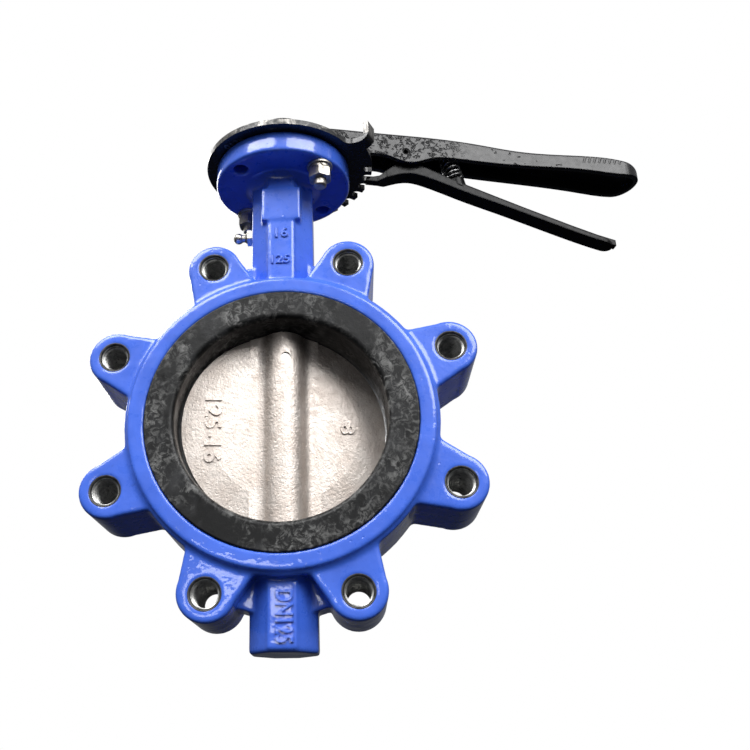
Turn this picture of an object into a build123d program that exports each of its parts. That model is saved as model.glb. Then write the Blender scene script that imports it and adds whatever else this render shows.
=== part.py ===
from build123d import *
import math
import os

# Lug-type butterfly valve, DN125, with a lever operator.
# Millimetres. The origin is where the pipe axis (Y) crosses the stem axis (Z, up).
# The lever points along +X when the valve is shut. It is modelled one notch (10 degrees) open.

# ---- pipe side ----
FACE_TO_FACE = 56.0
RING_FACE_Y = 27.5
RING_FACE_R = 86.4
RING_R = 88.5
BODY_BORE_R = 67.0
LINER_LIP_R = 76.8
LINER_BORE_R = 59.8
LIP_DEPTH = 5.0
LINER_BORE_ROUND = 3.2
DISC_R = 59.4
DISC_EDGE = 5.0
DISC_CENTRE = 8.0
DISC_HUB_R = 12.8
DISC_HUB_TOP = 57.8

# ---- lugs ----
LUG_PCD = 210.0
LUG_COUNT = 8
LUG_BOSS_R = 16.0
LUG_TIP_R = 120.0
LUG_ROOT_HALF = 21.5
LUG_HALF_DEPTH = 24.0
LUG_HOLE_R = 8.0
LUG_CHAMFER = 1.0
WEB_HALF_DEPTH = 11.0

# ---- neck, boss and top flange ----
NECK_AF = 38.3
BOSS_AF = 36.8
BOSS_BOTTOM = -126.2
FLANGE_R = 43.2
FLANGE_LOW = 165.7
FLANGE_TOP = 180.0
FLANGE_PCD = 70.0
FLANGE_HOLE_R = 4.5
NECK_BORE_R = 12.0
STEM_WELL_BOTTOM = -118.5
RECESS_R = 16.0
RECESS_DEPTH = 6.0
NIPPLE_Z = 131.0
NIPPLE_HOLE_R = 3.0

# ---- stem ----
SCREW_R = 4.0
STEM_R = 9.46
STEM_BOTTOM = -118.0
SQUARE_LOW = 184.0
STEM_TOP = 208.0
SQUARE_AF = 14.0
RUNNING_GAP = 0.05
BUSH_SPANS = {"upper_bushing": (148.0, 170.0), "middle_bushing": (78.0, 100.0), "lower_bushing": (-114.0, -92.0)}
SEAL_LAND = (102.0, 118.0)
SEAL_LAND_R = 9.6
O_RING_Z = (107.0, 113.0)
O_RING_WIRE_R = 1.3
O_RING_MID_R = SEAL_LAND_R - 0.05 - O_RING_WIRE_R
PIN_Z = 42.0
PIN_SMALL_R = 2.9
PIN_TAPER = 0.02
PIN_RECESS = 1.2

# ---- notch plate ----
PLATE_T = 3.5
PLATE_TOP = FLANGE_TOP + PLATE_T
PLATE_R = 49.6
SECTOR_R = 58.3
NOTCH_ROOT_R = 52.6
NOTCH_W = 6.0
NOTCH_STEP = 10.0
NOTCH_COUNT = 10
STOP_ANGLES = (-25.5, 115.5)
STOP_W = 9.0
STOP_TOP = 193.0
STOP_OUT = 64.0
STOP_BEND_R = 3.0

# ---- plate bolts (M8) ----
BOLT_ANGLES = (-45.0, 135.0)
BOLT_R = 4.0
BOLT_AF = 13.0
BOLT_HEAD_H = 5.3
WASHER_T = 1.6
SPRING_WASHER_T = 2.0
NUT_H = 6.5
BOLT_END = 5.5

# ---- lever, in its own frame: L runs out along the lever, W across it ----
OPEN_ANGLE = 10.0
HUB_R = 18.0
LEVER_TOP_Z = 211.0
LEVER_WALL = 3.2
LEVER_ROOF = 4.2
LEVER_HALF = 10.0
GRIP_HALF = 13.4
LEVER_TIP = 243.5
GROOVE_COUNT = 8
GROOVE_START = 204.0
GROOVE_STEP = 3.5
GROOVE_DEPTH = 0.9
PIVOT_L = 81.0
PIVOT_Z = 195.5
PIVOT_R = 2.5
TRIGGER_HALF = 5.6
TOOTH_HALF = 2.6
TRIGGER_HUB_R = 6.3
TRIGGER_HUB_HALF = 4.2
RIB_HALF = 2.4
RIB_H = 3.2

# ---- trigger spring ----
SPRING_TOP = (111.5, 201.0)
SPRING_FOOT = (116.0, 180.6)
SPRING_COIL_R = 5.3
SPRING_WIRE_R = 0.7
SPRING_TURNS = 7.5
SPRING_PAD_R = 6.0
SPRING_PEG_R = 4.2
SPRING_PEG_H = 4.0


def polar(radius, angle):
    """Point at a radius and an angle in degrees."""
    return (radius * math.cos(math.radians(angle)), radius * math.sin(math.radians(angle)))


def upright(shape):
    """Turn a shape drawn on XY with the pipe axis along Z so that the pipe axis is along Y."""
    return Rot(90, 0, 0) * shape


def tube(outer_r, inner_r, low, high):
    """Round tube about Z between two heights."""
    ring = Cylinder(outer_r, high - low) - Cylinder(inner_r, high - low)
    return Pos(0, 0, (low + high) / 2) * ring


def rod(radius, low, high):
    """Round bar about Z between two heights."""
    return Pos(0, 0, (low + high) / 2) * Cylinder(radius, high - low)


def octagon(across_flats, low, high, edge_r):
    """Upright octagonal prism with a flat facing front, its long edges rounded."""
    outer_r = across_flats / 2 / math.cos(math.radians(22.5))
    with BuildSketch(Plane.XY.offset(low)) as sketch:
        RegularPolygon(outer_r, 8, rotation=22.5)
        fillet(sketch.vertices(), edge_r)
    return extrude(sketch.sketch, high - low)


def block(low, high):
    """Box between two corners."""
    size = [b - a for a, b in zip(low, high)]
    middle = [(a + b) / 2 for a, b in zip(low, high)]
    return Pos(*middle) * Box(*size)


def lever_place(shape):
    """Turn a piece of the lever to its place, one notch open."""
    return Rot(0, 0, OPEN_ANGLE) * shape


def side_profile(points, half_width):
    """Side view of a lever piece, points (L, z), made solid to both sides of W = 0."""
    with BuildSketch(Plane.XZ) as sketch:
        Polygon(*points, align=None)
    return extrude(sketch.sketch, half_width, both=True)


# ---------------------------------------------------------------- valve body

def lug_angles():
    step = 360.0 / LUG_COUNT
    return [step / 2 + step * n for n in range(LUG_COUNT)]


def lug_sketch():
    """Outline of the body seen along the pipe: ring, eight lugs and the webs at neck and boss."""
    with BuildSketch() as sketch:
        Circle(RING_R)
        for angle in lug_angles():
            with Locations(Rot(0, 0, angle)):
                Polygon((78, LUG_ROOT_HALF), (78, -LUG_ROOT_HALF), (LUG_TIP_R - LUG_BOSS_R, -LUG_BOSS_R),
                        (LUG_TIP_R - LUG_BOSS_R, LUG_BOSS_R), align=None)
            with Locations(polar(LUG_TIP_R - LUG_BOSS_R, angle)):
                Circle(LUG_BOSS_R)
        inner = [v for v in sketch.vertices() if Vector(v.X, v.Y, 0).length < LUG_PCD / 2 - 8]
        fillet(inner, 4.0)
    return sketch.sketch


def neck_webs():
    """Thick webs that join the neck and the bottom boss to the lugs beside them."""
    top = Polygon((-24, 80), (24, 80), (24, 102), (18, 103.5), (-18, 103.5), (-24, 102), align=None)
    low = Polygon((-24, -80), (24, -80), (24, -103), (17.5, -105), (-17.5, -105), (-24, -103), align=None)
    return upright(extrude(top + low, WEB_HALF_DEPTH, both=True))


def body_ring():
    """Ring of the casting with its two raised end faces."""
    full = Cylinder(RING_FACE_R, 2 * RING_FACE_Y)
    middle = Cylinder(RING_R, 2 * (LUG_HALF_DEPTH + 0.8))
    return upright(chamfer((full + middle).edges().filter_by(GeomType.CIRCLE), 0.6))


def lug_plate():
    """The lug outline given its depth, front and back edges softened."""
    plate = extrude(lug_sketch(), LUG_HALF_DEPTH, both=True)
    rims = plate.faces().filter_by(Axis.Z).edges()
    return upright(fillet(rims, 1.6))


def neck():
    """Octagonal neck with the raised strip and panel on its front."""
    shape = octagon(NECK_AF, 60, FLANGE_LOW + 2, 2.0)
    front = -NECK_AF / 2
    strip = block((-8.2, front - 1.2, 84), (8.2, front + 3, FLANGE_LOW + 1))
    panel = block((-12.2, front - 1.7, 130.9), (12.2, front + 5, 154.6))
    strip = fillet(strip.edges().filter_by(Axis.Z).group_by(Axis.Y)[0], 0.8)
    panel = fillet(panel.edges().group_by(Axis.Y)[0], 0.8)
    return shape + strip + panel


def bottom_boss():
    """Octagonal boss under the ring that holds the stem's lower end."""
    shape = octagon(BOSS_AF, BOSS_BOTTOM, -60, 2.0)
    shape = fillet(shape.faces().sort_by(Axis.Z)[0].edges(), 1.5)
    front = -BOSS_AF / 2
    panel = block((-7.8, front - 0.9, -125.0), (7.8, front + 3, -90.2))
    panel = fillet(panel.edges().group_by(Axis.Y)[0], 0.8)
    return shape + panel


def top_flange():
    """Round mounting flange for the operator, with a soft cone down to the neck."""
    height = FLANGE_TOP - FLANGE_LOW
    flange = Pos(0, 0, FLANGE_LOW + height / 2) * Cylinder(FLANGE_R, height)
    flange = fillet(flange.edges().filter_by(GeomType.CIRCLE), 1.5)
    flare_h = 5.0
    flare = Pos(0, 0, FLANGE_LOW - flare_h / 2) * Cone(NECK_AF / 2 + 0.2, NECK_AF / 2 + flare_h, flare_h)
    return flange + flare


def lug_hole():
    """Through hole of one lug, chamfered at both ends."""
    hole = Cylinder(LUG_HOLE_R, 2 * LUG_HALF_DEPTH)
    mouth = Cone(LUG_HOLE_R, LUG_HOLE_R + LUG_CHAMFER, LUG_CHAMFER)
    end = LUG_HALF_DEPTH - LUG_CHAMFER / 2
    return hole + Pos(0, 0, end) * mouth + Pos(0, 0, -end) * Rot(180, 0, 0) * mouth


def valve_body():
    """One casting: ring, lugs, neck, boss and top flange, then all its machined holes."""
    shape = body_ring() + lug_plate() + neck_webs() + neck() + bottom_boss() + top_flange()
    shape -= upright(Cylinder(BODY_BORE_R, 2 * RING_FACE_Y))
    lip_y = FACE_TO_FACE / 2 - LIP_DEPTH
    lip_cut = Cylinder(LINER_LIP_R + 0.15, 20)
    shape -= upright(Pos(0, 0, lip_y + 10) * lip_cut)
    shape -= upright(Pos(0, 0, -lip_y - 10) * lip_cut)
    shape -= rod(NECK_BORE_R, STEM_WELL_BOTTOM, SEAL_LAND[0])
    shape -= rod(SEAL_LAND_R, *SEAL_LAND)
    shape -= rod(NECK_BORE_R, SEAL_LAND[1], FLANGE_TOP)
    shape -= rod(RECESS_R, FLANGE_TOP - RECESS_DEPTH, FLANGE_TOP)
    for angle in (45, 135, 225, 315):
        x, y = polar(FLANGE_PCD / 2, angle)
        shape -= Pos(x, y, 0) * rod(FLANGE_HOLE_R, FLANGE_LOW - 1, FLANGE_TOP)
    shape -= Pos(-NECK_AF / 2, 0, NIPPLE_Z) * Rot(0, 90, 0) * Cylinder(NIPPLE_HOLE_R, 16)
    for angle in lug_angles():
        x, y = polar(LUG_PCD / 2, angle)
        shape -= upright(Pos(x, y, 0) * lug_hole())
    return shape


# ---------------------------------------------------------------- liner, disc and stem

def seat_liner():
    """Rubber sleeve with a lip over each end face, holes for the stem and soft bore edges."""
    half = FACE_TO_FACE / 2
    lip_y = half - LIP_DEPTH
    outer = Cylinder(BODY_BORE_R, 2 * lip_y)
    lip = Cylinder(LINER_LIP_R, LIP_DEPTH)
    outer += Pos(0, 0, half - LIP_DEPTH / 2) * lip + Pos(0, 0, -half + LIP_DEPTH / 2) * lip
    shape = outer - Cylinder(LINER_BORE_R, FACE_TO_FACE)
    ends = shape.faces().filter_by(Axis.Z).group_by(Axis.Z)
    rims = (ends[0] + ends[-1]).edges()
    shape = fillet([rim for rim in rims if rim.radius < LINER_BORE_R + 0.1], LINER_BORE_ROUND)
    rims = [rim for rim in shape.edges().filter_by(GeomType.CIRCLE) if abs(rim.center().Z) > half - 0.1]
    shape = fillet([rim for rim in rims if rim.radius > LINER_LIP_R - 0.1], 0.8)
    return upright(shape) - rod(STEM_R + RUNNING_GAP, -80, 80)


def disc():
    """Cast disc: thinner at the rim, with a full-height rib round the stem. Turned one notch open."""
    middle = DISC_CENTRE / 2
    edge = DISC_EDGE / 2
    with BuildSketch() as half_section:
        Polygon((0, -middle), (DISC_R - 16, -middle), (DISC_R + 1, -edge), (DISC_R + 1, edge),
                (DISC_R - 16, middle), (0, middle), align=None)
    plate = revolve(half_section.sketch, Axis.Y)
    with BuildSketch() as section:
        Circle(DISC_HUB_R)
        Rectangle(41, DISC_CENTRE)
        corners = [v for v in section.vertices() if abs(v.X) < 15]
        fillet(corners, 7.0)
    rib = Pos(0, 0, -DISC_HUB_TOP) * extrude(section.sketch, 2 * DISC_HUB_TOP)
    shape = (plate + rib) & Sphere(DISC_R)
    for side in (-1, 1):
        shape -= Pos(0, 0, side * (DISC_HUB_TOP + 5)) * Box(2 * DISC_HUB_R + 1, 2 * DISC_HUB_R + 1, 10)
    shape -= rod(STEM_R, -DISC_R - 5, DISC_R + 5)
    shape -= pin_cone(0.0)
    return lever_place(shape)


def pin_cone(clearance):
    """Taper pin through disc rib and stem, along Y before the disc is turned."""
    length = 2 * DISC_HUB_R - 1.0
    large_r = PIN_SMALL_R + PIN_TAPER * length
    cone = Cone(PIN_SMALL_R - clearance, large_r - clearance, length + 6)
    return Pos(0, 0, PIN_Z) * Rot(-90, 0, 0) * cone


def taper_pin():
    """The pin itself, both ends driven a little below the rib's crown."""
    cone = pin_cone(0.02)
    crown = DISC_HUB_R - PIN_RECESS
    trimmed = cone & block((-5, -crown, PIN_Z - 6), (5, crown, PIN_Z + 6))
    return lever_place(trimmed)


def stem():
    """Stem in one piece: round to the top flange, square above, with grooves and a tapped top."""
    shape = rod(STEM_R, STEM_BOTTOM, STEM_TOP)
    shape = chamfer(shape.edges().filter_by(GeomType.CIRCLE), 0.8)
    square = Pos(0, 0, (SQUARE_LOW + STEM_TOP) / 2) * Box(SQUARE_AF, SQUARE_AF, STEM_TOP - SQUARE_LOW)
    shape -= rod(STEM_R + 1, SQUARE_LOW, STEM_TOP) - square
    for z in O_RING_Z:
        shape -= tube(STEM_R + 1, O_RING_MID_R - O_RING_WIRE_R - 0.05, z - 1.6, z + 1.6)
    groove_low, groove_high = circlip_span()
    shape -= tube(STEM_R + 1, STEM_R - 0.9, groove_low, groove_high)
    shape -= rod(SCREW_R + 0.02, STEM_TOP - 22, STEM_TOP)
    shape = Rot(0, 0, OPEN_ANGLE) * shape
    return shape - lever_place(pin_cone(0.0))


def circlip_span():
    """Heights between which the retaining ring sits, just above its thrust washer."""
    low = FLANGE_TOP - RECESS_DEPTH + 2.1
    return (low, low + 1.5)


def stem_o_rings():
    """Two sealing rings in the stem's grooves."""
    rings = [Pos(0, 0, z) * Torus(O_RING_MID_R, O_RING_WIRE_R) for z in O_RING_Z]
    return Compound(children=rings)


def bushing(span):
    """Plain bearing pressed into the body round the stem."""
    low, high = span
    shape = tube(NECK_BORE_R - 0.01, STEM_R + RUNNING_GAP, low, high)
    return chamfer(shape.edges().filter_by(GeomType.CIRCLE), 0.4)


def thrust_washer():
    low = FLANGE_TOP - RECESS_DEPTH
    return tube(RECESS_R - 0.3, STEM_R + RUNNING_GAP, low, low + 2.0)


def stem_circlip():
    """Open retaining ring in the stem's groove, with two lugs for the pliers."""
    low, high = circlip_span()
    ring = tube(12.6, STEM_R - 0.85, low, high)
    ring -= block((0, -2.2, low - 1), (20, 2.2, high + 1))
    for side in (-1, 1):
        lug = Pos(11.6, side * 4.2, 0) * (rod(2.3, low, high) - rod(0.9, low, high))
        ring += lug - rod(STEM_R - 0.85, low - 1, high + 1)
    return Rot(0, 0, 200) * ring


# ---------------------------------------------------------------- fasteners and nipple

def hexagon(across_flats, low, high, angle=0.0):
    """Hexagonal prism with both ends turned to a slight cone, as on a bolt head or nut."""
    outer_r = across_flats / math.sqrt(3)
    with BuildSketch(Plane.XY.offset(low)) as sketch:
        RegularPolygon(outer_r, 6, rotation=angle)
    prism = extrude(sketch.sketch, high - low)
    turned = chamfer(rod(outer_r, low, high).edges().filter_by(GeomType.CIRCLE), 0.6)
    return prism & turned


def at_bolts(shape):
    """A copy of a shape at each of the two bolt places on the top flange."""
    return [Pos(*polar(FLANGE_PCD / 2, angle), 0) * Rot(0, 0, angle) * shape for angle in BOLT_ANGLES]


def stack_heights():
    """Heights of washer, spring washer, nut and bolt end below the flange."""
    washer_low = FLANGE_LOW - WASHER_T
    spring_low = washer_low - SPRING_WASHER_T
    nut_low = spring_low - NUT_H
    return washer_low, spring_low, nut_low, nut_low - BOLT_END


def plate_bolts():
    _, _, _, end = stack_heights()
    shank = rod(BOLT_R, end, PLATE_TOP + 1)
    shank = chamfer(shank.edges().filter_by(GeomType.CIRCLE).sort_by(Axis.Z)[0], 1.0)
    head = hexagon(BOLT_AF, PLATE_TOP, PLATE_TOP + BOLT_HEAD_H)
    return Compound(children=at_bolts(shank + head))


def plate_flat_washers():
    low, _, _, _ = stack_heights()
    washer = tube(8.0, BOLT_R + 0.2, low, low + WASHER_T)
    return Compound(children=at_bolts(chamfer(washer.edges().filter_by(GeomType.CIRCLE), 0.25)))


def plate_spring_washers():
    """Split lock washers, drawn flat as they are when tight."""
    _, low, _, _ = stack_heights()
    high = low + SPRING_WASHER_T
    washer = tube(6.9, BOLT_R + 0.15, low, high)
    washer -= Pos(5.5, 0, (low + high) / 2) * Rot(35, 0, 0) * Box(5, 0.9, 6)
    return Compound(children=at_bolts(Rot(0, 0, -35) * washer))


def plate_nuts():
    _, _, low, _ = stack_heights()
    nut = hexagon(BOLT_AF, low, low + NUT_H, 12.0) - rod(BOLT_R, low, low + NUT_H)
    return Compound(children=at_bolts(nut))


def grease_nipple():
    """Hexagon, waist and ball head of a grease nipple, on an axis that leaves the neck to -X."""
    shank = Cylinder(NIPPLE_HOLE_R, 6, align=(Align.CENTER, Align.CENTER, Align.MAX))
    base = hexagon(10.0, 0.0, 3.6)
    cone = Pos(0, 0, 4.5) * Cone(3.9, 2.4, 1.8)
    waist = Pos(0, 0, 6.2) * Cylinder(2.3, 3.0)
    ball = Pos(0, 0, 9.4) * Sphere(3.4)
    shape = shank + base + cone + waist + ball
    shape -= Pos(0, 0, 13.4) * Box(10, 10, 2)
    shape -= Cylinder(1.0, 60)
    return Pos(-NECK_AF / 2, 0, NIPPLE_Z) * Rot(0, -90, 0) * shape


# ---------------------------------------------------------------- notch plate

def stop_arm():
    """Arm of the plate with its end bent up as a stop, drawn along +X."""
    low = FLANGE_TOP
    inner = STOP_OUT - PLATE_T
    bend = STOP_BEND_R
    with BuildSketch(Plane.XZ) as sketch:
        Polygon((30, low), (STOP_OUT, low), (STOP_OUT, STOP_TOP), (inner, STOP_TOP),
                (inner, low + PLATE_T), (30, low + PLATE_T), align=None)
        outer_corner = sketch.vertices().sort_by_distance(Vector(STOP_OUT, 0, low))[0]
        inner_corner = sketch.vertices().sort_by_distance(Vector(inner, 0, low + PLATE_T))[0]
        fillet(outer_corner, bend + PLATE_T)
        fillet(inner_corner, bend)
    return extrude(sketch.sketch, STOP_W / 2, both=True)


def sector_sketch():
    """Outline of the flat plate: round, with a wider toothed sector between the two stops."""
    first, last = STOP_ANGLES
    with BuildSketch() as sketch:
        Circle(PLATE_R)
        with BuildLine():
            start = polar(SECTOR_R, first)
            middle = polar(SECTOR_R, (first + last) / 2)
            end = polar(SECTOR_R, last)
            ThreePointArc(start, middle, end)
            Polyline(end, (0, 0), start)
        make_face()
        for angle in STOP_ANGLES:
            with Locations(Rot(0, 0, angle)):
                Polygon((40, STOP_W / 2), (40, -STOP_W / 2), (STOP_OUT - 8, -STOP_W / 2),
                        (STOP_OUT - 8, STOP_W / 2), align=None)
        roots = [v for v in sketch.vertices() if PLATE_R - 3 < Vector(v.X, v.Y, 0).length < PLATE_R + 0.5]
        fillet(roots, 7.0)
    return sketch.sketch


def notch_plate():
    """Stamped plate with ten notches for the trigger's tooth, 10 degrees apart."""
    plate = extrude(Pos(0, 0, FLANGE_TOP) * sector_sketch(), PLATE_T)
    for angle in STOP_ANGLES:
        plate += Rot(0, 0, angle) * stop_arm()
    for number in range(NOTCH_COUNT):
        root = Pos(NOTCH_ROOT_R + NOTCH_W / 2, 0, FLANGE_TOP + 2) * Cylinder(NOTCH_W / 2, 10)
        slot_low = (NOTCH_ROOT_R + NOTCH_W / 2, -NOTCH_W / 2, FLANGE_TOP - 3)
        slot = block(slot_low, (SECTOR_R + 4, NOTCH_W / 2, FLANGE_TOP + 7))
        plate -= Rot(0, 0, NOTCH_STEP * number) * (root + slot)
    plate -= rod(RECESS_R - 4.5, FLANGE_TOP - 1, PLATE_TOP + 1)
    for angle in BOLT_ANGLES:
        plate -= Pos(*polar(FLANGE_PCD / 2, angle), 0) * rod(FLANGE_HOLE_R, FLANGE_TOP - 1, PLATE_TOP + 1)
    return plate


# ---------------------------------------------------------------- lever

LEVER_TOP_LINE = [(38, LEVER_TOP_Z), (60, 210), (106, 208), (132, 205.3), (155, 201.8), (177, 199.9),
                  (207, 199), (222, 198), (234, 195.6), (LEVER_TIP + 1, 191.5)]
LEVER_LOW_LINE = [(LEVER_TIP + 1, 187), (227, 185), (205, 187), (167, 189), (130, 191), (110, 192.4),
                  (98, 191.4), (91, 188.8), (86, 187.4), (80, 187.6), (74, 189.7), (66, 192.3), (57, 192.5)]


def lever_plan(offset):
    """Lever seen from above: straight arm, a wider grip and a round end, drawn inset by an offset."""
    arm = LEVER_HALF - offset
    grip = GRIP_HALF - offset
    tip = LEVER_TIP - offset
    shoulder = LEVER_TIP - GRIP_HALF
    with BuildSketch() as sketch:
        with BuildLine():
            Polyline((0, -arm), (120, -arm))
            Spline((120, -arm), (165, -arm - 0.9), (205, -grip + 0.3), (shoulder, -grip),
                   tangents=((1, 0), (1, 0)))
            ThreePointArc((shoulder, -grip), (tip, 0), (shoulder, grip))
            Spline((shoulder, grip), (205, grip - 0.3), (165, arm + 0.9), (120, arm),
                   tangents=((-1, 0), (-1, 0)))
            Polyline((120, arm), (0, arm), (0, -arm))
        make_face()
    return sketch.sketch


def smooth_profile(top, low):
    """Closed side view through two rows of points, each row a smooth curve."""
    with BuildSketch(Plane.XZ) as sketch:
        with BuildLine():
            Spline(*top)
            Line(top[-1], low[0])
            Spline(*low)
            Line(low[-1], top[0])
        make_face()
    return extrude(sketch.sketch, 20, both=True)


def lever_handle():
    """Cast lever: square hub, an arm, and a channel open downwards that houses the trigger."""
    low = PLATE_TOP + 0.6
    shoulder_z = 192.5
    top_line = [(0, LEVER_TOP_Z)] + LEVER_TOP_LINE
    outer = smooth_profile(top_line, LEVER_LOW_LINE + [(0, shoulder_z)])
    plan = Pos(0, 0, 150) * extrude(lever_plan(0.0), 80)
    arm = outer & plan
    arm = fillet(longest_top_edges(arm), 2.2)
    hub = rod(HUB_R, low, LEVER_TOP_Z)
    hub = fillet(hub.edges().filter_by(GeomType.CIRCLE).sort_by(Axis.Z)[-1], 2.0)
    web = side_profile([(10, low), (44, low), (52, shoulder_z + 1), (52, 200), (10, 200)], LEVER_HALF)
    roof_line = [(l, z - LEVER_ROOF) for l, z in LEVER_TOP_LINE if 50 < l < LEVER_TIP - 4]
    roof_line[0] = (54, roof_line[0][1])
    floor = [(LEVER_TIP - 3, 150), (54, 150)]
    channel = side_profile(roof_line + [(LEVER_TIP - 3, roof_line[-1][1] - 1)] + floor, 20)
    channel = channel & (Pos(0, 0, 140) * extrude(lever_plan(LEVER_WALL), 80))
    shape = arm + hub + web - channel + lever_spring_pad(arm)
    shape -= rod(12.5, LEVER_TOP_Z, LEVER_TOP_Z + 5)
    shape -= grip_grooves()
    shape -= Pos(0, 0, (low + LEVER_TOP_Z) / 2) * Box(SQUARE_AF + 0.1, SQUARE_AF + 0.1, 60)
    shape -= Pos(PIVOT_L, 0, PIVOT_Z) * Rot(90, 0, 0) * Cylinder(PIVOT_R, 60)
    return lever_place(shape)


def lever_spring_pad(arm):
    """Round pad and peg under the roof that the spring's upper end sits on."""
    pad = rod(SPRING_PAD_R, 0, 12) + rod(SPRING_PEG_R, -SPRING_PEG_H, 0)
    pad = Pos(SPRING_TOP[0], 0, SPRING_TOP[1]) * Rot(0, spring_tilt(), 0) * pad
    return pad & arm


def grip_grooves():
    """Shallow slanting grooves over both upper edges near the lever's end."""
    cuts = []
    for number in range(GROOVE_COUNT):
        along = GROOVE_START + GROOVE_STEP * number
        for side in (-1, 1):
            cut = Rot(0, 20, 0) * Box(1.3, 2 * GROOVE_DEPTH, 13)
            cuts.append(Pos(along, side * GRIP_HALF, 199.0) * cut)
    return cuts


def longest_top_edges(arm):
    """The two long upper edges of the arm and the one round its end."""
    upper = [f for f in arm.faces() if f.normal_at(f.center()).Z > 0.7]
    edges = [e for f in upper for e in f.edges() if e.center().X > 20]
    return edges


def handle_washer():
    washer = tube(12.0, SCREW_R + 0.3, LEVER_TOP_Z, LEVER_TOP_Z + 2.0)
    return chamfer(washer.edges().filter_by(GeomType.CIRCLE), 0.3)


def handle_screw():
    """Hexagon screw that holds the lever down on the stem."""
    low = LEVER_TOP_Z + 2.0
    head = hexagon(BOLT_AF, low, low + BOLT_HEAD_H, OPEN_ANGLE)
    return rod(SCREW_R, STEM_TOP - 18, low + 1) + head


def pivot_pin():
    """Slotted spring pin through the lever's two walls."""
    half = LEVER_HALF - 0.5
    pin = Cylinder(PIVOT_R, 2 * half) - Cylinder(PIVOT_R - 0.9, 2 * half)
    pin -= Pos(0, PIVOT_R, 0) * Box(0.8, 2 * PIVOT_R, 2 * half)
    return lever_place(Pos(PIVOT_L, 0, PIVOT_Z) * Rot(90, 0, 0) * pin)


# ---------------------------------------------------------------- trigger and spring

TRIGGER_TOP_LINE = [(61, 179.3), (65, 180.6), (70, 184.2), (75.5, 188.2), (81, 190.4), (86, 190.2),
                    (92, 188), (100, 184.3), (109, 180), (124, 173.5), (145, 165), (163, 157.8),
                    (192, 146.6), (209, 140.4), (221, 136.8)]
TRIGGER_LOW_LINE = [(221, 134.2), (207, 138), (187, 144.9), (167, 152.4), (147, 159.9), (120, 169.6),
                    (107, 174.8), (94, 179.6), (86, 181.4), (77, 180.4), (68, 177.4), (61, 175.8)]


def trigger_plan():
    """Trigger seen from above: narrow at the tooth, full width along the arm, round at the end."""
    with BuildSketch() as sketch:
        Polygon((54, TOOTH_HALF), (62.5, TOOTH_HALF), (68, TRIGGER_HALF), (213, TRIGGER_HALF),
                (213, -TRIGGER_HALF), (68, -TRIGGER_HALF), (62.5, -TOOTH_HALF), (54, -TOOTH_HALF), align=None)
        with Locations((213, 0)):
            Circle(TRIGGER_HALF)
        tooth_corners = [v for v in sketch.vertices() if 61 < v.X < 70]
        fillet(tooth_corners, 2.0)
    return sketch.sketch


def trigger_rib():
    """Narrow rib on top of the trigger, with a gap where the spring stands."""
    top = [(l, z + RIB_H) for l, z in TRIGGER_TOP_LINE if l > 70]
    low = [(l, z - 1.0) for l, z in TRIGGER_TOP_LINE if l > 70]
    rib = side_profile(top + low[::-1], RIB_HALF)
    foot_l, foot_z = SPRING_FOOT
    gap = Pos(foot_l, 0, foot_z) * Rot(0, spring_tilt(), 0) * Pos(0, 0, 10) * Box(15, 20, 20)
    return rib - gap


def trigger_spring_pad():
    """Round pad and peg on the trigger that the spring's lower end sits on."""
    pad = rod(SPRING_PAD_R, -10, 0) + rod(SPRING_PEG_R, 0, SPRING_PEG_H)
    pad = Pos(SPRING_FOOT[0], 0, SPRING_FOOT[1]) * Rot(0, spring_tilt(), 0) * pad
    return pad & side_profile([(106, 179), (126, 171), (126, 195), (106, 195)], SPRING_PAD_R + 1)


def spring_tilt():
    """Lean of the spring's axis from upright, in degrees about +Y."""
    return -math.degrees(math.atan2(SPRING_FOOT[0] - SPRING_TOP[0], SPRING_TOP[1] - SPRING_FOOT[1]))


def trigger_lever():
    """Trigger: a flat arm with a rib, a hub round the pivot and a tooth under the notch plate."""
    with BuildSketch(Plane.XZ) as sketch:
        with BuildLine():
            Spline(*TRIGGER_TOP_LINE)
            Line(TRIGGER_TOP_LINE[-1], TRIGGER_LOW_LINE[0])
            Spline(*TRIGGER_LOW_LINE)
            Line(TRIGGER_LOW_LINE[-1], TRIGGER_TOP_LINE[0])
        make_face()
    flange = extrude(sketch.sketch, 20, both=True) & (Pos(0, 0, 100) * extrude(trigger_plan(), 120))
    tooth = side_profile([(55.2, 176.2), (64, 175.8), (66, 181), (60, 179.5), (55.2, 179.4)], TOOTH_HALF)
    hub = Pos(PIVOT_L, 0, PIVOT_Z) * Rot(90, 0, 0) * Cylinder(TRIGGER_HUB_R, 2 * TRIGGER_HUB_HALF)
    neck_block = side_profile([(PIVOT_L - 6, 185), (PIVOT_L + 6, 185), (PIVOT_L + 6, PIVOT_Z),
                               (PIVOT_L - 6, PIVOT_Z)], TRIGGER_HUB_HALF)
    shape = flange + tooth + trigger_rib() + hub + neck_block + trigger_spring_pad()
    shape -= Pos(PIVOT_L, 0, PIVOT_Z) * Rot(90, 0, 0) * Cylinder(PIVOT_R + RUNNING_GAP, 60)
    return lever_place(shape)


def trigger_spring():
    """Compression spring between the lever's roof and the trigger."""
    run = SPRING_TOP[0] - SPRING_FOOT[0]
    rise = SPRING_TOP[1] - SPRING_FOOT[1]
    foot_gap = 0.35
    length = math.hypot(run, rise) - foot_gap - 0.05 - 2 * SPRING_WIRE_R
    path = Helix(length / SPRING_TURNS, length, SPRING_COIL_R)
    start = Plane(origin=path @ 0, z_dir=path % 0)
    coil = sweep(start * Circle(SPRING_WIRE_R), path=path, is_frenet=True)
    coil = Pos(0, 0, foot_gap + SPRING_WIRE_R) * coil
    return lever_place(Pos(SPRING_FOOT[0], 0, SPRING_FOOT[1]) * Rot(0, spring_tilt(), 0) * coil)


# ---------------------------------------------------------------- output

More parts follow.
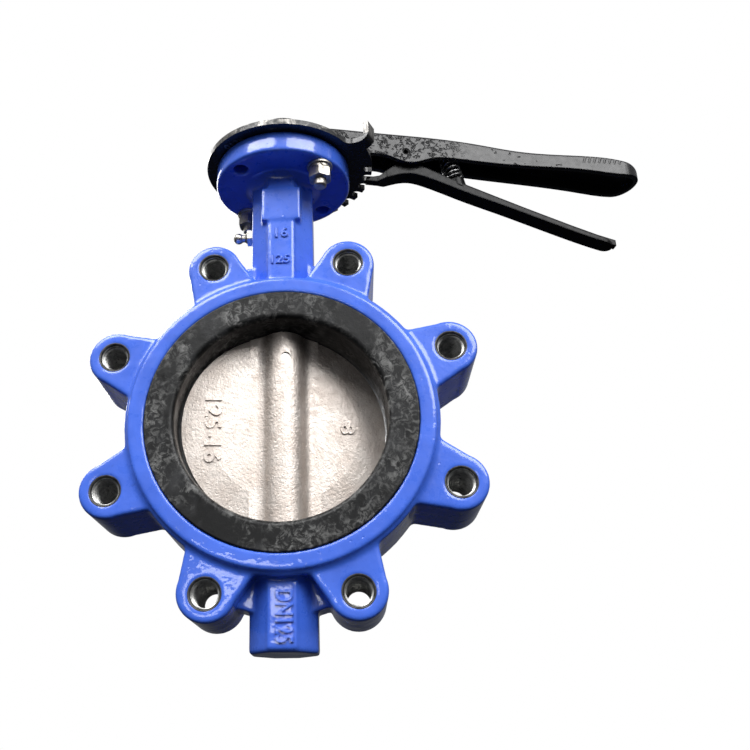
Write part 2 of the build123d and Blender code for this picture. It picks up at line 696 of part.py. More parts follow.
def main():
    parts = {
        "valve_body": valve_body(),
        "seat_liner": seat_liner(),
        "disc": disc(),
        "stem": stem(),
        "taper_pin": taper_pin(),
        "stem_o_rings": stem_o_rings(),
        "thrust_washer": thrust_washer(),
        "stem_circlip": stem_circlip(),
        "grease_nipple": grease_nipple(),
        "notch_plate": notch_plate(),
        "plate_bolts": plate_bolts(),
        "plate_flat_washers": plate_flat_washers(),
        "plate_spring_washers": plate_spring_washers(),
        "plate_nuts": plate_nuts(),
        "lever_handle": lever_handle(),
        "handle_washer": handle_washer(),
        "handle_screw": handle_screw(),
        "pivot_pin": pivot_pin(),
        "trigger_lever": trigger_lever(),
        "trigger_spring": trigger_spring(),
    }
    for name, span in BUSH_SPANS.items():
        parts[name] = bushing(span)
    os.makedirs("parts", exist_ok=True)
    for name, shape in parts.items():
        export_step(shape, f"parts/{name}.step")


main()
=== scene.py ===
"""Looks of a DN125 lug-type butterfly valve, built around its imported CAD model."""

import math
from typing import NamedTuple

import bmesh
import bpy
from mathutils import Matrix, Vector
from mathutils.bvhtree import BVHTree

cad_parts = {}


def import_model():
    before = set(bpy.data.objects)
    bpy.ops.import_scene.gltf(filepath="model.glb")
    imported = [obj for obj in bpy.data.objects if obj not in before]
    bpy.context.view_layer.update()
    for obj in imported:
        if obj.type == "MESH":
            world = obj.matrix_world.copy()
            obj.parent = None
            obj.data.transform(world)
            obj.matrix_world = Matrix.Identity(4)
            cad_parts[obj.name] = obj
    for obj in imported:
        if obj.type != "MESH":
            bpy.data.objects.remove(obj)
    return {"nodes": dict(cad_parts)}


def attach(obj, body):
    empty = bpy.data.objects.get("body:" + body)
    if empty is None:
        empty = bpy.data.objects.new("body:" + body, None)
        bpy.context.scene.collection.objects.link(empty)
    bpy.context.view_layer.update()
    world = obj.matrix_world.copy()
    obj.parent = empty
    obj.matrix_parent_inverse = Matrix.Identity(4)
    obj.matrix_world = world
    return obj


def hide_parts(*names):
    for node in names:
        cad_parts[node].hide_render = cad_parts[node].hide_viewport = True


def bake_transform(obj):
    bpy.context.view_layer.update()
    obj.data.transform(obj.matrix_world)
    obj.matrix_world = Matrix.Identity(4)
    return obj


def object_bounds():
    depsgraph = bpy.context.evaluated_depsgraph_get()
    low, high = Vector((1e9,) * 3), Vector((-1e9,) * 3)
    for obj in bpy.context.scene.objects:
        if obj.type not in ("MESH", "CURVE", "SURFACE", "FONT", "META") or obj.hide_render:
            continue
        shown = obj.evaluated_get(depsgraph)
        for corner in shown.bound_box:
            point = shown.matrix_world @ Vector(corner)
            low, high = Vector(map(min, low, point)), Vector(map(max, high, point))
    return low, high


MM = 0.001

# Lug holes and their threads
LUG_COUNT = 8
LUG_CIRCLE_R = 105 * MM
THREAD_ROOT_R = 7.75 * MM
THREAD_CREST_R = 6.75 * MM
THREAD_PITCH = 2 * MM
THREAD_HALF_LENGTH = 22.6 * MM
THREAD_SEGMENTS = 36
THREAD_ROOT_HALF = 0.30  # half width of the ridge, in pitches
THREAD_CREST_HALF = 0.07
LINING_SEGMENTS = 48
LINING_FRONT = ((9.0, -24.03), (8.35, -23.5), (7.75, -22.9))  # (radius, Y) in mm
LINING_BEHIND = ((8.12, -22.7), (8.6, -23.35), (9.1, -23.9))

# Trigger spring, in the lever's own upright plane, turned with the lever
LEVER_ANGLE = math.radians(10)
SPRING_TOP = (111.5 * MM, 201.0 * MM)
SPRING_FOOT = (116.0 * MM, 180.6 * MM)
SPRING_COIL_R = 5.65 * MM
SPRING_WIRE_R = 0.75 * MM
SPRING_TURNS = 6.25
SPRING_SEGMENTS = 28
SPRING_CLOSING = 0.035
WIRE_SEGMENTS = 10

# Teeth of the notch plate
TOOTH_MIN_X = 36 * MM
PLATE_TOP_Z = 184.2 * MM

# Casting
VOXEL = 0.9 * MM
WELD = 0.005 * MM

# Marks
MARK_SINK = 0.5 * MM
MARK_ROUND = 0.25 * MM
MARK_MERGE = 0.01 * MM

# Studio
FLOOR_HALF = 4.0
FLOOR_DROP = 0.16
LIGHT_AIM = Vector((0.03, 0, 0.03))
BOSS_AIM = Vector((0, -0.02, -0.10))


# ---------------------------------------------------------------- materials


class Look:
    """One procedural material, with short calls for its nodes."""

    def __init__(self, name, **sockets):
        self.material = bpy.data.materials.new(name)
        self.material.use_nodes = True
        self.tree = self.material.node_tree
        self.shader = self.tree.nodes["Principled BSDF"]
        self.place = self.add("TexCoord").outputs["Object"]
        self.normal = None
        for socket, value in sockets.items():
            self.shader.inputs[socket.replace("_", " ")].default_value = value

    def add(self, kind, **settings):
        node = self.tree.nodes.new("ShaderNode" + kind)
        for key, value in settings.items():
            setattr(node, key, value)
        return node

    def link(self, output, target):
        self.tree.links.new(output, target)

    def noise(self, size, detail=3.0, roughness=0.5, distortion=0.0, stretch=(1, 1, 1)):
        """Noise whose features are about this size, in metres."""
        mapping = self.add("Mapping")
        mapping.inputs["Scale"].default_value = stretch
        self.link(self.place, mapping.inputs["Vector"])
        node = self.add("TexNoise")
        node.inputs["Scale"].default_value = 1 / size
        node.inputs["Detail"].default_value = detail
        node.inputs["Roughness"].default_value = roughness
        node.inputs["Distortion"].default_value = distortion
        self.link(mapping.outputs["Vector"], node.inputs["Vector"])
        return node.outputs["Fac"]

    def cells(self, size, randomness=1.0):
        """Distance to the nearest of scattered points this far apart, in metres."""
        node = self.add("TexVoronoi")
        node.inputs["Scale"].default_value = 1 / size
        node.inputs["Randomness"].default_value = randomness
        self.link(self.place, node.inputs["Vector"])
        return node.outputs["Distance"]

    def spread(self, value, low, high, to_low=0.0, to_high=1.0):
        """The part of a value from low to high, spread over a new range."""
        node = self.add("MapRange")
        limits = {"From Min": low, "From Max": high, "To Min": to_low, "To Max": to_high}
        for socket, number in limits.items():
            node.inputs[socket].default_value = number
        self.link(value, node.inputs["Value"])
        return node.outputs["Result"]

    def math(self, operation, a, b):
        node = self.add("Math", operation=operation)
        for socket, value in zip(node.inputs, (a, b)):
            if isinstance(value, (int, float)):
                socket.default_value = value
            else:
                self.link(value, socket)
        return node.outputs["Value"]

    def mix(self, factor, a, b):
        """Colour a where the factor is 0 and b where it is 1."""
        node = self.add("Mix", data_type="RGBA")
        self.link(factor, node.inputs["Factor"])
        for socket, value in zip((node.inputs[6], node.inputs[7]), (a, b)):
            if isinstance(value, tuple):
                socket.default_value = (*value, 1)
            else:
                self.link(value, socket)
        return node.outputs[2]

    def colour(self, output):
        self.link(output, self.shader.inputs["Base Color"])
        return self

    def rough(self, output):
        self.link(output, self.shader.inputs["Roughness"])
        return self

    def metal(self, output):
        self.link(output, self.shader.inputs["Metallic"])
        return self

    def soften(self, radius):
        """Round the shading of edges by this radius."""
        node = self.add("Bevel", samples=4)
        node.inputs["Radius"].default_value = radius
        self.normal = node.outputs["Normal"]
        return self

    def bump(self, height, distance, strength=1.0):
        node = self.add("Bump")
        node.inputs["Distance"].default_value = distance
        node.inputs["Strength"].default_value = strength
        self.link(height, node.inputs["Height"])
        if self.normal is not None:
            self.link(self.normal, node.inputs["Normal"])
        self.normal = node.outputs["Normal"]
        return self

    def done(self, coat=False):
        if self.normal is not None:
            self.link(self.normal, self.shader.inputs["Normal"])
            if coat:
                self.link(self.normal, self.shader.inputs["Coat Normal"])
        return self.material


def blue_epoxy():
    """Thick glossy epoxy over a sand casting: slow lumps, orange peel and darker thin spots."""
    look = Look("BlueEpoxy", Roughness=0.3, Coat_Weight=0.85, Coat_Roughness=0.05, Specular_IOR_Level=0.35)
    tone = look.spread(look.noise(0.022, 4, 0.55), 0.35, 0.65)
    base = look.mix(tone, (0.042, 0.120, 0.60), (0.052, 0.145, 0.70))
    thin = look.spread(look.noise(0.004, 5, 0.65, 0.4), 0.62, 0.74, 0, 0.6)
    look.colour(look.mix(thin, base, (0.034, 0.088, 0.45)))
    look.rough(look.spread(look.noise(0.007, 4, 0.6), 0.3, 0.7, 0.22, 0.42))
    look.soften(1.2 * MM)
    look.bump(look.noise(0.012, 3, 0.5), 0.9 * MM, 0.45)
    look.bump(look.noise(0.0026, 2, 0.5), 0.09 * MM, 0.3)
    look.bump(look.spread(look.cells(0.008), 0.0, 0.10), 0.22 * MM, 0.7)
    return look.done(coat=True)


def seat_rubber():
    """Black moulded rubber with chalky handling marks."""
    look = Look("SeatRubber", Roughness=0.5, Specular_IOR_Level=0.28)
    cloud = look.spread(look.noise(0.024, 8, 0.68, 0.6), 0.50, 0.66)
    streak = look.spread(look.noise(0.0042, 7, 0.72, 0.9), 0.47, 0.62, 0, 1)
    base = look.mix(cloud, (0.0030, 0.0031, 0.0034), (0.020, 0.0205, 0.022))
    chalk = look.math("MULTIPLY", streak, look.spread(look.noise(0.034, 5, 0.6, 0.4), 0.42, 0.60))
    look.colour(look.mix(chalk, base, (0.17, 0.17, 0.165)))
    look.rough(look.spread(look.noise(0.005, 4, 0.6), 0.3, 0.7, 0.30, 0.52))
    look.bump(look.noise(0.0045, 4, 0.55), 0.35 * MM, 0.5)
    look.bump(look.noise(0.0009, 3, 0.6), 0.08 * MM, 0.6)
    return look.done()


def nickel_iron():
    """Plated sand casting: even sandy grain with soft pits and a warm tint."""
    look = Look("NickelIron", Metallic=0.85, Roughness=0.5)
    tone = look.spread(look.noise(0.014, 5, 0.6), 0.35, 0.65)
    base = look.mix(tone, (0.57, 0.50, 0.45), (0.73, 0.67, 0.62))
    speck = look.spread(look.noise(0.0016, 4, 0.7), 0.56, 0.70, 0, 0.75)
    look.colour(look.mix(speck, base, (0.40, 0.33, 0.28)))
    look.rough(look.spread(look.noise(0.003, 4, 0.6), 0.3, 0.7, 0.40, 0.62))
    look.bump(look.noise(0.0017, 4, 0.62), 0.42 * MM, 0.75)
    look.bump(look.noise(0.0065, 3, 0.5), 0.5 * MM, 0.5)
    look.bump(look.spread(look.cells(0.0022), 0.0, 0.3), 0.18 * MM, 0.5)
    return look.done()


def black_casting():
    """Gloss black paint on cast iron, with pits and a slow unevenness."""
    look = Look("BlackPaintIron", Roughness=0.28, Specular_IOR_Level=0.42)
    worn = look.spread(look.noise(0.003, 6, 0.7, 0.6), 0.66, 0.78, 0, 0.5)
    tone = look.spread(look.noise(0.02, 4, 0.5), 0.35, 0.65)
    base = look.mix(tone, (0.0055, 0.0055, 0.0062), (0.012, 0.012, 0.013))
    look.colour(look.mix(worn, base, (0.05, 0.048, 0.045)))
    look.rough(look.spread(look.noise(0.004, 4, 0.6), 0.3, 0.7, 0.24, 0.36))
    look.soften(0.8 * MM)
    split = look.add("SeparateXYZ")
    look.link(look.place, split.inputs["Vector"])
    rough_end = look.spread(split.outputs["X"], 0.095, 0.125, 1, 0)
    smooth_low = look.spread(look.noise(0.0042, 5, 0.6, 0.5), 0.40, 0.50, 1, 0)
    few = look.spread(look.noise(0.0045, 4, 0.5, 0.2), 0.29, 0.33, 1, 0)
    pits = look.math("MAXIMUM", look.math("MULTIPLY", smooth_low, rough_end), few)
    look.bump(look.math("SUBTRACT", 1, pits), 0.55 * MM, 0.9)
    look.bump(look.noise(0.013, 2, 0.5), 0.35 * MM, 0.4)
    look.bump(look.noise(0.0014, 3, 0.6), 0.03 * MM, 0.5)
    return look.done()


def dull_black():
    """Thin satin black paint of the trigger and the pin."""
    look = Look("TriggerBlack", Roughness=0.3, Specular_IOR_Level=0.14)
    worn = look.spread(look.noise(0.003, 6, 0.7, 0.5), 0.64, 0.76, 0, 0.4)
    look.colour(look.mix(worn, (0.0045, 0.0045, 0.005), (0.02, 0.02, 0.02)))
    look.rough(look.spread(look.noise(0.004, 4, 0.6), 0.3, 0.7, 0.2, 0.36))
    look.soften(1.3 * MM)
    look.bump(look.noise(0.006, 3, 0.5), 0.4 * MM, 0.4)
    look.bump(look.noise(0.0015, 3, 0.6), 0.08 * MM, 0.6)
    return look.done()


def black_plate():
    """Gloss black paint on sheet steel, rubbed to bright metal in places."""
    look = Look("BlackPaintSteel", Roughness=0.3, Coat_Weight=0.2, Coat_Roughness=0.12)
    worn = look.spread(look.noise(0.0022, 6, 0.7, 0.4), 0.64, 0.70)
    look.colour(look.mix(worn, (0.009, 0.009, 0.010), (0.30, 0.29, 0.27)))
    look.metal(look.math("MULTIPLY", worn, 0.9))
    look.rough(look.spread(look.noise(0.003, 4, 0.6), 0.3, 0.7, 0.2, 0.42))
    look.soften(0.4 * MM)
    look.bump(look.noise(0.0025, 4, 0.6), 0.18 * MM, 0.5)
    return look.done()


def sheared_steel():
    """Bare cut edge of the plate, with its shear lines."""
    look = Look("ShearedSteel", Metallic=0.95, Roughness=0.35)
    tone = look.spread(look.noise(0.0013, 5, 0.7, 0.2, (1, 1, 0.12)), 0.35, 0.7)
    bare = look.mix(tone, (0.12, 0.115, 0.11), (0.40, 0.385, 0.36))
    paint = look.spread(look.noise(0.016, 6, 0.7, 0.5), 0.46, 0.56)
    look.colour(look.mix(paint, bare, (0.02, 0.02, 0.021)))
    look.metal(look.spread(paint, 0, 1, 0.95, 0.1))
    look.rough(look.spread(look.noise(0.002, 3, 0.6), 0.3, 0.7, 0.26, 0.5))
    look.bump(look.noise(0.0006, 3, 0.6, 0, (1, 1, 0.1)), 0.08 * MM, 0.7)
    return look.done()


def plated(name, bright, dull, roughness, grain=0.0012):
    """Plated or plain metal with a fine grain and some dulled patches."""
    look = Look(name, Metallic=1.0, Roughness=roughness)
    tone = look.spread(look.noise(grain * 4, 5, 0.65), 0.35, 0.68)
    look.colour(look.mix(tone, bright, dull))
    look.rough(look.spread(look.noise(grain * 2, 4, 0.6), 0.3, 0.7, roughness * 0.7, roughness * 1.35))
    look.soften(0.25 * MM)
    look.bump(look.noise(grain, 3, 0.6), 0.05 * MM, 0.5)
    return look.done()


def threaded_steel(name, dark, light, metallic):
    """Cut iron in the tapped holes, in two copies: the lighter copy on the thread crests is painted
    highlight, and the near-black copy on the hole walls is painted shade.
    """
    look = Look(name, Metallic=metallic, Roughness=0.35)
    tone = look.spread(look.noise(0.004, 5, 0.65), 0.35, 0.65)
    look.colour(look.mix(tone, dark, light))
    look.rough(look.spread(look.noise(0.002, 3, 0.6), 0.3, 0.7, 0.25, 0.5))
    look.bump(look.noise(0.0008, 3, 0.6), 0.05 * MM, 0.6)
    return look.done()


def seal_rubber():
    """Smooth black rubber of the O-rings."""
    look = Look("SealRubber", Roughness=0.45)
    tone = look.spread(look.noise(0.002, 4, 0.6), 0.4, 0.7)
    look.colour(look.mix(tone, (0.008, 0.008, 0.008), (0.03, 0.03, 0.03)))
    look.bump(look.noise(0.0008, 3, 0.5), 0.03 * MM, 0.5)
    return look.done()


def make_looks():
    """One material for each slot of the record, then those of details."""
    return {
        "blue_epoxy": blue_epoxy(),
        "seat_rubber": seat_rubber(),
        "nickel_iron": nickel_iron(),
        "black_paint_iron": black_casting(),
        "black_paint_steel": black_plate(),
        "zinc_steel": plated("ZincSteel", (0.60, 0.57, 0.51), (0.30, 0.28, 0.25), 0.42),
        "stem_steel": plated("StemSteel", (0.62, 0.61, 0.59), (0.42, 0.41, 0.40), 0.28),
        "nickel_plate": plated("NickelPlate", (0.66, 0.63, 0.57), (0.42, 0.40, 0.37), 0.32),
        "bearing_bronze": plated("BearingBronze", (0.60, 0.36, 0.16), (0.40, 0.23, 0.10), 0.35),
        "spring_steel": plated("SpringSteel", (0.30, 0.30, 0.30), (0.07, 0.07, 0.07), 0.3, 0.0008),
        "seal_rubber": seal_rubber(),
        "dull_black": dull_black(),
        "sheared_steel": sheared_steel(),
        # Lighter copy of the cut iron for the thread ridges: its brightness is painted highlight.
        "thread_crest_painted_highlight": threaded_steel("ThreadCrestPaintedHighlight", (0.30, 0.30, 0.29), (0.62, 0.62, 0.60), 0.7),
        # Near-black copy of the cut iron for the hole walls and chamfers: its darkness is painted shade
        # inside the holes.
        "thread_root_painted_shade": threaded_steel("ThreadRootPaintedShade", (0.02, 0.02, 0.021), (0.09, 0.09, 0.09), 0.3),
    }


def set_looks(nodes, looks):
    """Give each CAD node the material of its slot, whose name its own material carries."""
    for name, obj in nodes.items():
        slot = "dull_black" if name in ("trigger_lever", "pivot_pin") else obj.data.materials[0].name
        obj.data.materials.clear()
        obj.data.materials.append(looks[slot])


# ---------------------------------------------------------------- geometry


def mesh_piece(name, points, faces, material, smooth=True):
    """New mesh object in the row frame."""
    mesh = bpy.data.meshes.new(name)
    mesh.from_pydata([tuple(p) for p in points], [], faces)
    mesh.materials.append(material)
    if smooth:
        mesh.shade_smooth()
    else:
        mesh.shade_flat()
    mesh.update()
    obj = bpy.data.objects.new(name, mesh)
    bpy.context.scene.collection.objects.link(obj)
    return obj


def swept(rings):
    """Points and faces of a closed skin through rings of equal length, capped at both ends."""
    count = len(rings[0])
    points = [p for ring in rings for p in ring]
    faces = []
    for i in range(len(rings) - 1):
        for j in range(count):
            k = (j + 1) % count
            faces.append((i * count + j, i * count + k, (i + 1) * count + k, (i + 1) * count + j))
    faces.append(tuple(range(count))[::-1])
    last = (len(rings) - 1) * count
    faces.append(tuple(last + j for j in range(count)))
    return points, faces


def round_y(radius, y, angle):
    """Point at an angle round the Y axis."""
    return Vector((radius * math.cos(angle), y, radius * math.sin(angle)))


def thread_rings(centre):
    """Rings of the screw thread along Y in one lug: a ridge that fades out at both ends."""
    steps = int(2 * THREAD_HALF_LENGTH / THREAD_PITCH * THREAD_SEGMENTS)
    outer = THREAD_ROOT_R + 0.05 * MM
    rings = []
    for i in range(steps + 1):
        angle = 2 * math.pi * i / THREAD_SEGMENTS
        middle = -THREAD_HALF_LENGTH + THREAD_PITCH * i / THREAD_SEGMENTS
        fade = min(1, i / THREAD_SEGMENTS, (steps - i) / THREAD_SEGMENTS)
        crest = THREAD_ROOT_R - 0.02 * MM - (THREAD_ROOT_R - THREAD_CREST_R) * fade
        profile = (
            (outer, -THREAD_ROOT_HALF), (crest, -THREAD_CREST_HALF),
            (crest, THREAD_CREST_HALF), (outer, THREAD_ROOT_HALF),
        )
        ring = [round_y(radius, middle + along * THREAD_PITCH, angle) for radius, along in profile]
        rings.append([centre + point for point in ring])
    return rings


def lining_rings(centre):
    """Rings of the thin bare-iron skin of a tapped hole: chamfer, wall, chamfer and back behind itself. Its
    near-black colour is painted shade.
    """
    mirrored = [[(radius, -y) for radius, y in side[::-1]] for side in (LINING_FRONT, LINING_BEHIND)]
    outline = [*LINING_FRONT, *mirrored[0], *mirrored[1], *LINING_BEHIND]
    turns = [2 * math.pi * i / LINING_SEGMENTS for i in range(LINING_SEGMENTS)]
    return [[centre + round_y(radius, y, angle) * MM for angle in turns] for radius, y in outline]


def closed_loop(rings):
    """Points and faces of a skin through rings that ends where it began."""
    points, faces = swept(rings)
    count, last = len(rings[0]), (len(rings) - 1) * len(rings[0])
    joined = [(last + j, last + (j + 1) % count, (j + 1) % count, j) for j in range(count)]
    return points, faces[:-2] + joined


def add_threads(looks):
    """Bare tapped holes in the eight lugs, with painted highlight on the thread ridges and painted shade on
    the near-black hole walls.
    """
    for i in range(LUG_COUNT):
        centre = round_y(LUG_CIRCLE_R, 0, 2 * math.pi * (i + 0.5) / LUG_COUNT)
        ridge, skin = swept(thread_rings(centre)), closed_loop(lining_rings(centre))
        thread = mesh_piece(f"lug_thread_{i + 1}", *ridge, looks["thread_crest_painted_highlight"], smooth=False)
        lining = mesh_piece(f"lug_lining_{i + 1}", *skin, looks["thread_root_painted_shade"])
        for piece in (thread, lining):
            face_outward(piece.data)
            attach(piece, "body")


def face_outward(mesh, merge=0.0):
    """Turn all faces of a closed mesh outward, after merging points this close."""
    work = bmesh.new()
    work.from_mesh(mesh)
    if merge:
        bmesh.ops.remove_doubles(work, verts=work.verts, dist=merge)
    bmesh.ops.recalc_face_normals(work, faces=work.faces)
    work.to_mesh(mesh)
    work.free()


def lever_point(along, across, height):
    """Point given along the lever, across it and up, in the row frame."""
    return Vector((
        along * math.cos(LEVER_ANGLE) - across * math.sin(LEVER_ANGLE),
        along * math.sin(LEVER_ANGLE) + across * math.cos(LEVER_ANGLE),
        height,
    ))


class Ground(NamedTuple):
    """What a mark stands on and is made of."""

    surface: BVHTree
    body: str
    slot: str
    look: bpy.types.Material


def ground(obj, body, slot, look):
    """An object's final surface, for marks."""
    bpy.context.view_layer.update()
    return Ground(BVHTree.FromObject(obj, bpy.context.evaluated_depsgraph_get()), body, slot, look)


def letter_mesh(name, text):
    """Mesh of extruded text, at any size."""
    data = bpy.data.curves.new(name, "FONT")
    data.body = text
    data.align_x, data.align_y = "CENTER", "CENTER"
    data.extrude = 1
    data.resolution_u = 4
    data.offset = 0.03
    typed = bpy.data.objects.new(name, data)
    bpy.context.scene.collection.objects.link(typed)
    bpy.context.view_layer.update()
    mesh = bpy.data.meshes.new_from_object(typed.evaluated_get(bpy.context.evaluated_depsgraph_get()))
    bpy.data.objects.remove(typed)
    return mesh


def middle_and_span(values):
    """Middle of a list of numbers, and the range they cover."""
    return (max(values) + min(values)) / 2, max(values) - min(values)


def lay_on(mesh, surface, centre, size, right, up, height):
    """Scale letters to size (length, letter height), and drop them on a surface."""
    out = right.cross(up)
    mid_x, wide = middle_and_span([v.co.x for v in mesh.vertices])
    mid_y, tall = middle_and_span([v.co.y for v in mesh.vertices])
    for v in mesh.vertices:
        flat = centre + right * ((v.co.x - mid_x) * size[0] / wide) + up * ((v.co.y - mid_y) * size[1] / tall)
        hit = surface.ray_cast(flat + out * 20 * MM, -out)[0]
        v.co = (hit or flat) + out * (height if v.co.z > 0 else -MARK_SINK)


def raised_mark(name, text, base, centre, size, right, up, height):
    """Cast mark that follows its ground. Centre, size (length, letter height) and height are in mm."""
    mesh = letter_mesh(name, text)
    size = [length * MM for length in size]
    lay_on(mesh, base.surface, Vector(centre) * MM, size, right, up, height * MM)
    mesh.materials.clear()
    mesh.materials.append(base.look)
    face_outward(mesh, MARK_MERGE)
    obj = bpy.data.objects.new(name, mesh)
    bpy.context.scene.collection.objects.link(obj)
    soft = obj.modifiers.new("soft", "BEVEL")
    soft.width = MARK_ROUND
    soft.segments = 2
    soft.limit_method = "ANGLE"
    soft.angle_limit = math.radians(50)
    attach(obj, base.body)


def add_marks(nodes, looks):
    """Generic size marks where the castings carry marks."""
    casting = ground(nodes["valve_body"], "body", "blue_epoxy", looks["blue_epoxy"])
    disc = ground(nodes["disc"], "rotor", "nickel_iron", looks["nickel_iron"])
    plate = ground(nodes["notch_plate"], "body", "black_paint_steel", looks["sheared_steel"])
    across, up = Vector((1, 0, 0)), Vector((0, 0, 1))
    along = lever_point(1, 0, 0)
    run = Vector((15, -9.6, 0)).normalized()
    raised_mark("boss_mark", "DN125", casting, (1.2, -20, -108.5), (27, 9.8), -up, across, 0.9)
    raised_mark("neck_mark", "125", casting, (-0.2, -20, 103.1), (11.4, 6), across, up, 0.8)
    raised_mark("neck_mark_small", "16", casting, (0.5, -20, 121.8), (8, 7), across, up, 0.8)
    raised_mark("disc_mark", "125-16", disc, -41.3 * along - 1.5 * up, (40, 10), -up, along, 1.0)
    raised_mark("disc_mark_small", "8", disc, 36.8 * along + up, (7.2, 8.6), -up, along, 1.0)
    raised_mark("plate_mark", "0125", plate, (-28.2, -32.9, 180), (15, 4.6), run, (-up).cross(run), 0.12)


def bare_plate_edges(plate, look):
    """Show bare steel on the plate's sheared rim and bent tab, and leave its teeth painted."""
    plate.data.materials.append(look)
    for face in plate.data.polygons:
        painted_tooth = face.center.x > TOOTH_MIN_X and face.center.z < PLATE_TOP_Z
        if abs(face.normal.z) < 0.5 and not painted_tooth:
            face.material_index = 1


def soften_casting(body):
    """Round every cast edge by a fine remesh and a little smoothing."""
    weld = body.modifiers.new("weld", "WELD")
    weld.merge_threshold = WELD
    remesh = body.modifiers.new("skin", "REMESH")
    remesh.mode = "VOXEL"
    remesh.voxel_size = VOXEL
    remesh.use_smooth_shade = True
    smooth = body.modifiers.new("soft", "SMOOTH")
    smooth.factor = 0.5
    smooth.iterations = 5


def spring_rings():
    """Rings of the coil's wire, with closed end turns."""
    top = Vector((SPRING_TOP[0], 0, SPRING_TOP[1]))
    foot = Vector((SPRING_FOOT[0], 0, SPRING_FOOT[1]))
    axis = (foot - top).normalized()
    side = Vector((0, 1, 0))
    other = axis.cross(side)
    length = (foot - top).length - 2 * SPRING_WIRE_R
    steps = int(SPRING_TURNS * SPRING_SEGMENTS)
    rings = []
    for i in range(steps + 1):
        t = i / steps
        eased = t - SPRING_CLOSING * math.sin(2 * math.pi * t)
        angle = 2 * math.pi * SPRING_TURNS * t
        middle = top + axis * (SPRING_WIRE_R + length * eased)
        radial = side * math.cos(angle) + other * math.sin(angle)
        ring = []
        for j in range(WIRE_SEGMENTS):
            turn = 2 * math.pi * j / WIRE_SEGMENTS
            point = middle + radial * (SPRING_COIL_R + SPRING_WIRE_R * math.cos(turn))
            point = point + axis * (SPRING_WIRE_R * math.sin(turn))
            ring.append(lever_point(point.x, point.y, point.z))
        rings.append(ring)
    return rings


def add_spring(looks):
    """Coil in place of the CAD's spring, shortened by the trigger."""
    points, faces = swept(spring_rings())
    piece = mesh_piece("trigger_coil", points, faces, looks["spring_steel"])
    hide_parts("trigger_spring")
    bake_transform(piece)


# ---------------------------------------------------------------- scene


def add_area(name, direction, distance, size, power, target=LIGHT_AIM, sheen_only=False):
    """Soft light from a direction, aimed at the target."""
    light = bpy.data.lights.new(name, "AREA")
    light.shape = "RECTANGLE"
    light.size, light.size_y = size
    light.energy = power
    lamp = bpy.data.objects.new(name, light)
    away = Vector(direction).normalized()
    lamp.location = target + away * distance
    lamp.rotation_mode = "QUATERNION"
    lamp.rotation_quaternion = away.to_track_quat("Z", "Y")
    lamp.visible_diffuse = not sheen_only
    bpy.context.scene.collection.objects.link(lamp)


def add_lights():
    """Three soft lights, and a small window that only shows as sheen on the lower lugs."""
    add_area("Key", (0.45, -0.69, 0.56), 2.2, (1.5, 1.2), 46)
    add_area("Front", (-0.45, -0.65, 0.84), 2.2, (1.4, 1.0), 44)
    add_area("Back", (-0.4, 0.75, 0.55), 1.5, (1.0, 0.8), 14)
    add_area("Window", (-0.155, -0.98, 0.15), 1.0, (0.21, 0.085), 0.48, BOSS_AIM, sheen_only=True)


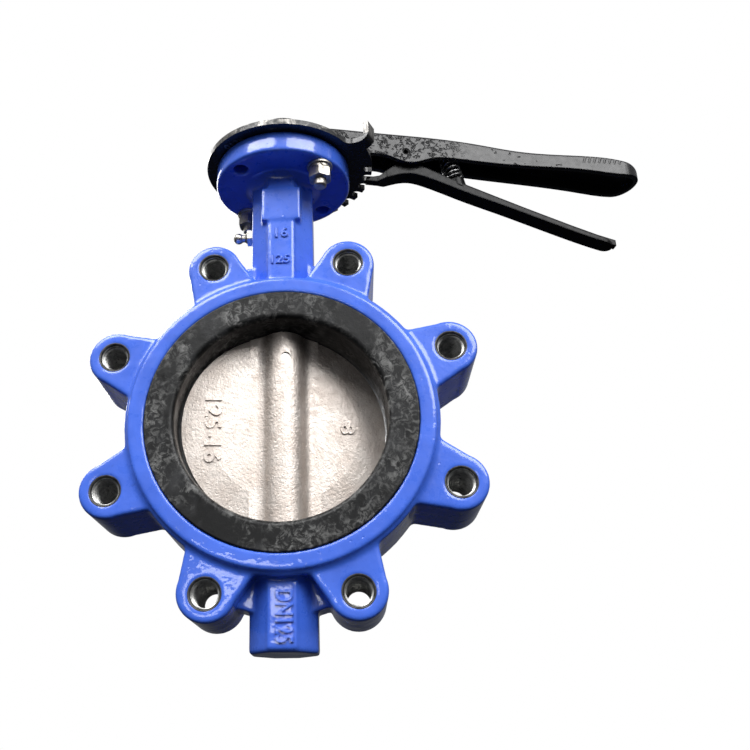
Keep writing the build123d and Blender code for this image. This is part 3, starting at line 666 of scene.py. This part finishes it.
def add_world():
    """White studio: seen as plain white, lighting more from above, and dimmer in reflections."""
    world = bpy.data.worlds.new("Studio")
    world.use_nodes = True
    bpy.context.scene.world = world
    tree = world.node_tree
    new, link = tree.nodes.new, tree.links.new
    coords, split = new("ShaderNodeTexCoord"), new("ShaderNodeSeparateXYZ")
    half, ramp = new("ShaderNodeMapRange"), new("ShaderNodeValToRGB")
    half.inputs["From Min"].default_value = -1
    low, high = ramp.color_ramp.elements
    low.position, low.color = 0.38, (0.038, 0.041, 0.050, 1)
    high.position, high.color = 0.78, (0.62, 0.63, 0.65, 1)
    link(coords.outputs["Generated"], split.inputs["Vector"])
    link(split.outputs["Z"], half.inputs["Value"])
    link(half.outputs["Result"], ramp.inputs["Fac"])
    path, dim = new("ShaderNodeLightPath"), new("ShaderNodeMapRange")
    dim.inputs["To Min"].default_value, dim.inputs["To Max"].default_value = 1.1, 0.5
    link(path.outputs["Is Glossy Ray"], dim.inputs["Value"])
    lit, seen = new("ShaderNodeBackground"), new("ShaderNodeBackground")
    seen.inputs["Color"].default_value = (1, 1, 1, 1)
    link(ramp.outputs["Color"], lit.inputs["Color"])
    link(dim.outputs["Result"], lit.inputs["Strength"])
    pick = new("ShaderNodeMixShader")
    link(path.outputs["Is Camera Ray"], pick.inputs["Fac"])
    link(lit.outputs["Background"], pick.inputs[1])
    link(seen.outputs["Background"], pick.inputs[2])
    link(pick.outputs["Shader"], tree.nodes["World Output"].inputs["Surface"])


def add_floor(height):
    """Plain pale floor at this height."""
    look = Look("PaleFloor", Roughness=0.7)
    tone = look.spread(look.noise(0.3, 3, 0.5), 0.3, 0.7)
    look.colour(look.mix(tone, (0.80, 0.80, 0.80), (0.84, 0.84, 0.84)))
    look.bump(look.noise(0.004, 3, 0.5), 0.1 * MM, 0.3)
    corners = [(x * FLOOR_HALF, y * FLOOR_HALF, height) for x, y in ((-1, -1), (1, -1), (1, 1), (-1, 1))]
    floor = mesh_piece("floor", corners, [(0, 1, 2, 3)], look.done(), smooth=False)
    floor.visible_diffuse = False
    floor.visible_glossy = False


def add_camera():
    """Camera below and in front of the valve, as it is usually pictured."""
    data = bpy.data.cameras.new("Camera")
    data.sensor_width = 36
    data.lens = 42.660858
    data.shift_x = 0.1143075
    data.shift_y = 0.0300476
    data.clip_start = 0.01
    camera = bpy.data.objects.new("Camera", data)
    camera.location = (0.0373466, -0.4873330, -0.1732757)
    camera.rotation_euler = (math.radians(111.678442), math.radians(0.329161), math.radians(4.145022))
    bpy.context.scene.collection.objects.link(camera)
    bpy.context.scene.camera = camera


def main():
    """Load the frame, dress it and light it."""
    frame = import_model()
    cad_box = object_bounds()
    nodes = frame["nodes"]
    looks = make_looks()
    set_looks(nodes, looks)
    soften_casting(nodes["valve_body"])
    bare_plate_edges(nodes["notch_plate"], looks["sheared_steel"])
    add_threads(looks)
    add_marks(nodes, looks)
    add_spring(looks)
    add_camera()
    add_world()
    add_lights()
    add_floor(cad_box[0].z - FLOOR_DROP)
    bpy.context.scene.view_settings.view_transform = "Standard"


main()
